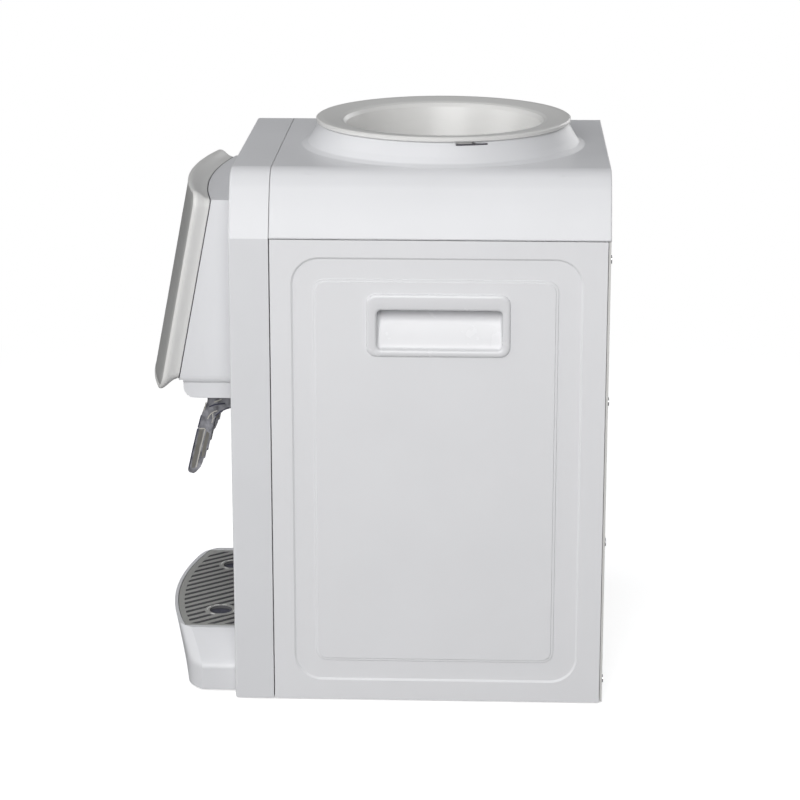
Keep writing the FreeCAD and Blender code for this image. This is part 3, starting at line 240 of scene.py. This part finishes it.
def dress(piece, slot_name, material=None):
    piece.data.materials.clear()
    piece.data.materials.append(material or MATERIALS[slot_name])


for part in frame["record"]["subparts"]:
    dress(NODES[part["node"]], part["material_slot"])
dress(NODES["top_cover"], "shell_white", COVER_FINISH)


# ---------------------------------------------------------------- meshes

def mesh_piece(name, points, faces, slot_name, body, sharp=None, material=None):
    """A smooth-shaded mesh from points in mm in the casing's frame."""
    mesh = bpy.data.meshes.new(name)
    mesh.from_pydata([place(*p) for p in points], [], faces)
    mesh.update()
    piece = bpy.data.objects.new(name, mesh)
    bpy.context.scene.collection.objects.link(piece)
    for polygon in mesh.polygons:
        polygon.use_smooth = True
    if sharp:
        mesh.set_sharp_from_angle(angle=math.radians(sharp))
    dress(piece, slot_name, material)
    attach(piece, body)
    return piece


def loop_faces(rows, columns, closed_rows=False):
    """Quads over a grid of closed loops: rows loops of columns points each."""
    faces = []
    last = rows if closed_rows else rows - 1
    for row in range(last):
        here = row * columns
        there = ((row + 1) % rows) * columns
        for column in range(columns):
            after = (column + 1) % columns
            faces.append((here + column, here + after, there + after, there + column))
    return faces


def rounded(a0, a1, b0, b1, radius, steps=14, along=26):
    """Points round a rounded rectangle from a0 to a1 and from b0 to b1."""
    corners = [(a1 - radius, b1 - radius, 0), (a0 + radius, b1 - radius, 90),
               (a0 + radius, b0 + radius, 180), (a1 - radius, b0 + radius, 270)]
    points = []
    for index, (ca, cb, start) in enumerate(corners):
        for step in range(steps + 1):
            angle = math.radians(start + 90 * step / steps)
            points.append((ca + radius * math.cos(angle), cb + radius * math.sin(angle)))
        na, nb, following = corners[(index + 1) % 4]
        angle = math.radians(following)
        end = (na + radius * math.cos(angle), nb + radius * math.sin(angle))
        begin = points[-1]
        for step in range(1, along):
            share = step / along
            points.append((begin[0] + (end[0] - begin[0]) * share, begin[1] + (end[1] - begin[1]) * share))
    return points


def capped(points, faces, columns):
    """Closes the last loop of a grid with a point at its middle."""
    start = len(points) - columns
    middle = len(points)
    loop = points[start:]
    points.append(tuple(sum(p[axis] for p in loop) / columns for axis in range(3)))
    for column in range(columns):
        faces.append((start + column, start + (column + 1) % columns, middle))


# ---------------------------------------------------------------- tap housing's bezel and face

LEAN = math.tan(math.radians(11))
HOUSING_HALF = 98.6
HOUSING_TOP = 405.5
HOUSING_LOW = 255.7
SEAM_FRONT = -28.5    # seam and rim at the middle of the housing's top
RIM_FRONT = -46.7
SEAM_BOW_R = 470.0
RIM_BOW_R = 360.0
FLARE_SIDE = 6.2
FLARE_LOW = 8.6


def bow(x, radius):
    """How far a front bowed to this radius lies back at x from the middle."""
    return radius - math.sqrt(radius * radius - x * x)


def seam_y(x, z):
    return SEAM_FRONT + bow(x, SEAM_BOW_R) - (HOUSING_TOP - z) * LEAN


def rim_y(x, z):
    return RIM_FRONT + bow(x, RIM_BOW_R) - (HOUSING_TOP - z) * LEAN


def outline(side, low, radius):
    """Rounded rectangle round the housing's section, as (x, z) points.

    It is larger than the section by side at the sides and the top, and by low at the bottom.
    """
    return rounded(-HOUSING_HALF - side, HOUSING_HALF + side, HOUSING_LOW - low, HOUSING_TOP + side, radius)


def bezel_loop(share, forward, depth=0.0, radius=None):
    """One loop of the bezel: share of the full flare, and forward from the seam, 0, to the rim, 1."""
    corner = 7.0 + 6.0 * share if radius is None else radius
    loop = []
    for x, z in outline(FLARE_SIDE * share, FLARE_LOW * share, corner):
        y = seam_y(x, z) * (1 - forward) + rim_y(x, z) * forward
        loop.append((x, y + depth, z))
    return loop


# The bezel's outside from the seam to the rim: share of the full flare, and forward from seam to rim.
FLARE = [
    (-0.14, -0.01), (-0.14, 0.03), (0.0, 0.05), (0.02, 0.08), (0.06, 0.14), (0.14, 0.24),
    (0.27, 0.34), (0.43, 0.44), (0.60, 0.54), (0.76, 0.63), (0.89, 0.72), (0.97, 0.80),
    (1.0, 0.87), (0.985, 0.93), (0.93, 0.975), (0.84, 0.998), (0.74, 1.0), (0.66, 0.99),
]
SEAT_DEPTH = 3.4      # how far the face plate's seat lies behind the rim
INNER_SHARE = -0.6
INNER_R = 5.0


def make_bezel():
    """Flared ring between the housing's bowed front edge and the face plate."""
    loops = [bezel_loop(share, forward) for share, forward in FLARE]
    loops.append(bezel_loop(0.62, 0.97))
    loops.append(bezel_loop(0.61, 1.0, SEAT_DEPTH))
    loops.append(bezel_loop(INNER_SHARE, 1.0, SEAT_DEPTH, INNER_R))
    loops.append(bezel_loop(INNER_SHARE, -0.01, 0.0, INNER_R))
    points = [point for loop in loops for point in loop]
    faces = loop_faces(len(loops), len(loops[0]), True)
    piece = mesh_piece("bezel_ring", points, faces, "warm_white", "casing", 40)
    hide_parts("tap_bezel")


def make_seam_shadow():
    """Dark ring of painted shade in the bottom of the groove between the housing and the bezel."""
    corners = ((-0.02, -0.02), (-0.02, 0.028), (-0.4, 0.028), (-0.4, -0.02))
    loops = [bezel_loop(share, forward) for share, forward in corners]
    points = [point for loop in loops for point in loop]
    faces = loop_faces(len(loops), len(loops[0]), True)
    mesh_piece("seam_shadow", points, faces, "warm_white", "casing", 30, GAP_SHADE)


FACE_MIDDLE_Z = 330


def make_face():
    """Bowed face plate with an eased edge, a thin gap inside the bezel."""
    shares = [(0.55, 2.4, 9.4), (0.55, 0.75, 9.4), (0.535, 0.45, 9.2), (0.51, 0.3, 9.0)]
    loops = [bezel_loop(share, 1.0, depth, radius) for share, depth, radius in shares]
    points = [point for loop in loops for point in loop]
    columns = len(loops[0])
    base = loops[-1]
    rings = 12
    for ring in range(1, rings):
        keep = 1 - ring / rings
        for x, _, z in base:
            nx = x * keep
            nz = FACE_MIDDLE_Z + (z - FACE_MIDDLE_Z) * keep
            points.append((nx, rim_y(nx, nz) + 0.3, nz))
    faces = loop_faces(len(loops) + rings - 1, columns)
    capped(points, faces, columns)
    piece = mesh_piece("face_plate", points, faces, "face_grey", "casing", 50)
    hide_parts("face_panel")


make_bezel()
make_seam_shadow()
make_face()


# ---------------------------------------------------------------- side grips

PANEL_X = 149.15
GRIP_RIM = (108.3, 221.9, 291.1, 341.5)      # y from and to, z from and to
GRIP_MOUTH = (116.7, 215.6, 296.8, 328.7)
# Rounded outer edge and lip of the rim: distance inside or outside the outline, and height over the panel.
GRIP_EDGE = [(0.0, 0.05), (0.0, 0.9), (0.25, 1.5), (0.8, 2.0), (1.6, 2.3), (2.6, 2.4)]
GRIP_LIP = [(2.2, 2.4), (1.2, 2.2), (0.45, 1.6), (0.1, 0.8), (0.0, -0.4)]
# The pocket is a ramp, then a curve under the upper lip: height over the panel, and z from and to.
GRIP_POCKET = [
    (-1.2, 298.2, 328.7), (-1.8, 301.0, 328.8), (-2.5, 305.0, 329.2), (-3.5, 310.0, 330.4),
    (-4.7, 315.0, 332.0), (-6.0, 318.8, 333.0), (-8.0, 321.6, 333.6), (-10.6, 323.8, 334.0),
    (-13.6, 325.6, 334.2), (-16.6, 327.0, 334.2),
]


def make_grip(side):
    """Moulded grip: a soft-edged rim round a pocket that undercuts at the top."""
    y0, y1, z0, z1 = GRIP_RIM
    loops = [(rounded(y0 + cut, y1 - cut, z0 + cut, z1 - cut, 8.0 - cut * 0.6), x) for cut, x in GRIP_EDGE]
    y0, y1, z0, z1 = GRIP_MOUTH
    for out, x in GRIP_LIP:
        loops.append((rounded(y0 - out, y1 + out, z0 - out, z1 + out, 3.6 + out), x))
    for x, low, high in GRIP_POCKET:
        loops.append((rounded(y0 + 0.3, y1 - 0.3, low, high, 3.4), x))
    points = [(side * (PANEL_X + x), y, z) for loop, x in loops for y, z in loop]
    columns = len(loops[0][0])
    faces = loop_faces(len(loops), columns)
    capped(points, faces, columns)
    name = "right" if side > 0 else "left"
    piece = mesh_piece("grip_" + name, points, faces, "grip_white", "casing")
    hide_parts("side_grip_" + name)


for grip_side in (-1, 1):
    make_grip(grip_side)


# ---------------------------------------------------------------- small details

RING_Y = 165.5
RING_LIP_Z = 454.0
TAP_X = 57.0
LEVER_HALF = 12.6
HOLE_Y = -21.3        # middle of the grille's drain holes
GRILLE_TOP = 41.6
GRILLE_LOW = 39.0
PADDLE_CORE = finish_of("paddle_core", (0.17, 0.162, 0.145), 0.35, tone=0.15, cloud=120, bevel=0)
# Painted highlight for the clear levers.
PADDLE_HIGHLIGHT = finish_of("paddle_highlight", (0.52, 0.50, 0.45), 0.25, tone=0.1, cloud=120, bevel=0)
# Painted shade for the clear levers' edges.
PADDLE_EDGE_SHADE = finish_of("paddle_edge_shade", (0.055, 0.055, 0.085), 0.2, tone=0.3, cloud=120, bevel=0)
# Painted shade seen through the grille's slots.
SLOT_SHADE_SHEET = finish_of("painted_slot_shade", (0.085, 0.087, 0.115), 0.6, tone=0.3, cloud=300,
                     grain=2600, depth=0.2, bevel=0)
PALE_TICK = finish_of("pale_tick", (0.72, 0.72, 0.70), 0.5, bevel=0)


SLOT_FROM = 12.0      # the slot under the lip starts this far behind the ring's middle
SLOT_LENGTH = 25.0


def make_slot_shadow_strip():
    """Painted shadow: a dark strip in the mouth of the slot under the bottle ring's lip."""
    points = []
    columns = 13
    for z, out in ((451.6, 0.15), (452.6, 0.15), (452.6, -0.6), (451.6, -0.6)):
        radius = 103.2 + (RING_LIP_Z - z) * 6.1 / 11 + out
        for step in range(columns):
            angle = math.asin((SLOT_FROM + SLOT_LENGTH * step / (columns - 1)) / radius)
            points.append((radius * math.cos(angle), RING_Y + radius * math.sin(angle), z))
    faces = []
    for row in range(4):
        here = row * columns
        there = (row + 1) % 4 * columns
        for column in range(columns - 1):
            faces.append((here + column, here + column + 1, there + column + 1, there + column))
    faces.append(tuple(row * columns for row in (3, 2, 1, 0)))
    faces.append(tuple((row + 1) * columns - 1 for row in range(4)))
    mesh_piece("slot_mouth_shadow", points, faces, "shell_white", "casing", 30, GAP_SHADE)


def make_drain_marks():
    """Raised pale ticks in arcs round the grille's two drain holes."""
    steps = 6
    for side, name in ((1, "cold"), (-1, "hot")):
        points = []
        faces = []
        for middle, span in ((80, 16), (170, 10), (205, 12), (255, 22), (330, 10)):
            base = len(points)
            for step in range(steps + 1):
                angle = math.radians(middle - span + 2 * span * step / steps)
                for radius, rise in ((11.2, -0.02), (11.4, 0.25), (12.0, 0.25), (12.2, -0.02)):
                    x = side * TAP_X + radius * math.cos(angle)
                    y = HOLE_Y + radius * math.sin(angle)
                    points.append((x, y, GRILLE_TOP + rise))
            for step in range(steps):
                for edge in range(3):
                    here = base + step * 4 + edge
                    faces.append((here, here + 4, here + 5, here + 1))
        mesh_piece("drain_marks_" + name, points, faces, "grille_grey", "drip_grille", None, PALE_TICK)


def flat_plates(name, outlines, side, thick, body, material):
    """Thin plates on both cheeks of a lever, one per (y, z) outline."""
    points = []
    faces = []
    for cheek in (-1, 1):
        for outline_yz in outlines:
            base = len(points)
            count = len(outline_yz)
            for out in (-0.05, thick):
                x = side * TAP_X + cheek * (LEVER_HALF + out)
                points += [(x, y, z) for y, z in outline_yz]
            faces += [tuple(range(base, base + count)), tuple(range(base + count, base + 2 * count))]
            faces += [(base + i, base + (i + 1) % count, base + count + (i + 1) % count, base + count + i)
                      for i in range(count)]
    mesh_piece(name, points, faces, "clear_smoke", body, 30, material)


def ribbon(path, width):
    """Outline of a band along a (y, z) path."""
    left = []
    right = []
    for index, (y, z) in enumerate(path):
        y0, z0 = path[max(0, index - 1)]
        y1, z1 = path[min(len(path) - 1, index + 1)]
        length = math.hypot(y1 - y0, z1 - z0)
        ny = -(z1 - z0) / length * width / 2
        nz = (y1 - y0) / length * width / 2
        left.append((y + ny, z + nz))
        right.append((y - ny, z - nz))
    return left + right[::-1]


def make_paddle_insets():
    """Plates on the clear levers: a dark inner core, light strips of painted highlight, and dark strips of
    painted shade at the edges.
    """
    front_core = [(-34.6, 205.2), (-31.2, 205.6), (-38.4, 176.0),
                  (-39.6, 171.8), (-42.2, 171.8), (-41.6, 176.0)]
    rear_core = [(-28.9, 204.0), (-26.4, 202.0), (-29.2, 190.0),
                 (-31.4, 182.4), (-33.6, 181.0), (-32.6, 189.0)]
    # Light strips painted as the highlights on the clear lever.
    highlight_lines = [
        ribbon([(-30.0, 205.8), (-34.0, 190.0), (-38.2, 172.4)], 0.9),
        ribbon([(-34.9, 206.0), (-30.4, 206.2)], 0.8),
        ribbon([(-27.8, 214.4), (-26.8, 216.8), (-24.8, 219.2), (-22.0, 221.0), (-19.6, 221.6)], 0.8),
        ribbon([(-23.6, 219.0), (-23.2, 214.6), (-24.4, 211.0)], 0.7),
        ribbon([(-22.0, 229.0), (-16.0, 231.5)], 0.9),
        ribbon([(-30.6, 222.0), (-28.8, 229.0)], 0.7),
    ]
    # Dark strips painted as the shade along the clear lever's edges.
    edges = [
        ribbon([(-36.2, 206.0), (-40.4, 189.0), (-44.6, 170.6)], 1.1),
        ribbon([(-36.0, 179.8), (-36.9, 176.0)], 0.8),
        ribbon([(-33.0, 217.6), (-35.9, 207.0)], 1.0),
        ribbon([(-21.2, 217.2), (-17.0, 221.0), (-10.0, 224.4)], 1.0),
        ribbon([(-26.2, 225.0), (-21.4, 227.0), (-13.0, 228.0)], 1.2),
    ]
    cores = [front_core, rear_core]
    for side, name in ((1, "cold"), (-1, "hot")):
        body = name + "_lever"
        flat_plates("paddle_core_" + name, cores, side, 0.08, body, PADDLE_CORE)
        flat_plates("paddle_highlight_" + name, highlight_lines, side, 0.16, body, PADDLE_HIGHLIGHT)
        flat_plates("paddle_edge_shade_" + name, edges, side, 0.12, body, PADDLE_EDGE_SHADE)


PLUNGER_Y = 6.0
SPRING_LOW = 267.2
SPRING_HIGH = 277.6
SPRING_TURNS = 5
SPRING_R = 5.6
SPRING_WIRE_R = 0.45


def make_valve_spring(side, name):
    """Coiled spring over a plunger, attached to the casing."""
    steps = SPRING_TURNS * 20
    corners = 8
    points = []
    for step in range(steps + 1):
        angle = 2 * math.pi * SPRING_TURNS * step / steps
        z = SPRING_LOW + (SPRING_HIGH - SPRING_LOW) * step / steps
        for corner in range(corners):
            around = 2 * math.pi * corner / corners
            radius = SPRING_R + SPRING_WIRE_R * math.cos(around)
            x = side * TAP_X + radius * math.cos(angle)
            y = PLUNGER_Y + radius * math.sin(angle)
            points.append((x, y, z + SPRING_WIRE_R * math.sin(around)))
    faces = loop_faces(steps + 1, corners)
    faces += [tuple(range(corners - 1, -1, -1)), tuple(range(steps * corners, (steps + 1) * corners))]
    piece = mesh_piece("spring_coil_" + name, points, faces, "screw_steel", "casing")
    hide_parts(name + "_valve_spring")
    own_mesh(piece)


def make_slot_shade_sheet():
    """Painted shade: a dark sheet close under the grille, so the slots look dark where shade falls in them.
    """
    columns = 40
    rows = []
    for z in (GRILLE_LOW - 0.3, GRILLE_LOW - 0.8):
        for edge in range(columns + 1):
            x = -90 + 180 * edge / columns
            rows.append((x, -60.0 + x * x / 600, z))
        for edge in range(columns + 1):
            rows.append((90 - 180 * edge / columns, 20.0, z))
    loop = 2 * columns + 2
    faces = [tuple(range(loop - 1, -1, -1)), tuple(range(loop, 2 * loop))]
    faces += [(i, (i + 1) % loop, loop + (i + 1) % loop, loop + i) for i in range(loop)]
    mesh_piece("slot_shade_sheet", rows, faces, "grille_grey", "drip_grille", 30, SLOT_SHADE_SHEET)


make_slot_shadow_strip()
make_drain_marks()
make_slot_shade_sheet()
make_paddle_insets()
make_valve_spring(1, "cold")
make_valve_spring(-1, "hot")


# ---------------------------------------------------------------- studio

LIGHT_AIM = Vector((0, 0, 0.24))


def area_light(name, azimuth, elevation, distance, size, power):
    """Square light aimed at the object's middle. Azimuth 0 is in front of the taps, 90 on the cold side."""
    turn = math.radians(azimuth)
    rise = math.radians(elevation)
    away = Vector((math.sin(turn) * math.cos(rise), -math.cos(turn) * math.cos(rise), math.sin(rise)))
    data = bpy.data.lights.new(name, "AREA")
    data.shape = "SQUARE"
    data.size = size
    data.energy = power
    light = bpy.data.objects.new(name, data)
    light.location = LIGHT_AIM + away * distance
    light.rotation_mode = "QUATERNION"
    light.rotation_quaternion = (-away).to_track_quat("-Z", "Y")
    bpy.context.scene.collection.objects.link(light)


def make_floor():
    """Pale paper, pure white far from the object, that throws little light back."""
    bpy.ops.mesh.primitive_plane_add(size=40, location=(0, 0, 0))
    floor = bpy.context.object
    floor.name = "floor"
    material, tree, shader = new_material("floor_paper")
    coords = tree.nodes.new("ShaderNodeTexCoord").outputs["Object"]
    slow = ranged(tree, noise(tree, coords, 1.5), 0.0, 1.0)
    tree.links.new(tinted(tree, slow, (0.88, 0.88, 0.88), (0.90, 0.90, 0.90)), shader.inputs["Base Color"])
    shader.inputs["Roughness"].default_value = 0.9
    shader.inputs["Specular IOR Level"].default_value = 0.05
    lift = tree.nodes.new("ShaderNodeEmission")
    lift.inputs["Strength"].default_value = 0.62
    paper = tree.nodes.new("ShaderNodeAddShader")
    tree.links.new(shader.outputs["BSDF"], paper.inputs[0])
    tree.links.new(lift.outputs["Emission"], paper.inputs[1])
    length = tree.nodes.new("ShaderNodeVectorMath")
    length.operation = "LENGTH"
    tree.links.new(coords, length.inputs[0])
    far = tree.nodes.new("ShaderNodeMapRange")
    far.interpolation_type = "SMOOTHSTEP"
    far.inputs["From Min"].default_value = 0.35
    far.inputs["From Max"].default_value = 1.1
    tree.links.new(length.outputs["Value"], far.inputs["Value"])
    white = tree.nodes.new("ShaderNodeEmission")
    fade = tree.nodes.new("ShaderNodeMixShader")
    tree.links.new(far.outputs["Result"], fade.inputs["Fac"])
    tree.links.new(paper.outputs["Shader"], fade.inputs[1])
    tree.links.new(white.outputs["Emission"], fade.inputs[2])
    dull = tree.nodes.new("ShaderNodeBsdfDiffuse")
    dull.inputs["Color"].default_value = (0.32, 0.32, 0.32, 1)
    seen = tree.nodes.new("ShaderNodeLightPath").outputs["Is Camera Ray"]
    mix = tree.nodes.new("ShaderNodeMixShader")
    tree.links.new(seen, mix.inputs["Fac"])
    tree.links.new(dull.outputs["BSDF"], mix.inputs[1])
    tree.links.new(fade.outputs["Shader"], mix.inputs[2])
    tree.links.new(mix.outputs["Shader"], tree.nodes["Material Output"].inputs["Surface"])
    floor.data.materials.append(material)


def make_world():
    """White to the camera, dim to everything else."""
    world = bpy.data.worlds.new("studio")
    bpy.context.scene.world = world
    world.use_nodes = True
    tree = world.node_tree
    dim = tree.nodes["Background"]
    dim.inputs["Color"].default_value = (0.95, 0.97, 1.0, 1)
    dim.inputs["Strength"].default_value = 0.16
    bright = tree.nodes.new("ShaderNodeBackground")
    bright.inputs["Color"].default_value = (1, 1, 1, 1)
    bright.inputs["Strength"].default_value = 1.0
    seen = tree.nodes.new("ShaderNodeLightPath").outputs["Is Camera Ray"]
    mix = tree.nodes.new("ShaderNodeMixShader")
    tree.links.new(seen, mix.inputs["Fac"])
    tree.links.new(dim.outputs["Background"], mix.inputs[1])
    tree.links.new(bright.outputs["Background"], mix.inputs[2])
    tree.links.new(mix.outputs["Shader"], tree.nodes["World Output"].inputs["Surface"])


make_floor()
make_world()
area_light("key", 84, 24, 2.6, 1.8, 49)
area_light("front_fill", 10, 20, 2.6, 1.6, 17)
area_light("back_fill", 235, 12, 2.8, 1.8, 24)
area_light("overhead", 40, 82, 2.2, 1.6, 6.5)
bpy.context.scene.view_settings.view_transform = "Standard"


# ---------------------------------------------------------------- camera

CAMERA_POINT = place(2073.3, 208.2, 804.8)
PITCH = 0.2590        # downwards, radians
YAW = 0.0380
FOCAL = 2523.6        # in pictures 800 wide


def make_camera():
    data = bpy.data.cameras.new("camera")
    data.sensor_width = 36
    data.lens = FOCAL / 800 * 36
    data.shift_y = -0.06
    data.clip_end = 100
    camera = bpy.data.objects.new("camera", data)
    camera.location = CAMERA_POINT
    forward = Vector((-math.cos(PITCH) * math.cos(YAW), -math.cos(PITCH) * math.sin(YAW), -math.sin(PITCH)))
    camera.rotation_mode = "QUATERNION"
    camera.rotation_quaternion = forward.to_track_quat("-Z", "Y")
    bpy.context.scene.collection.objects.link(camera)
    bpy.context.scene.camera = camera


make_camera()
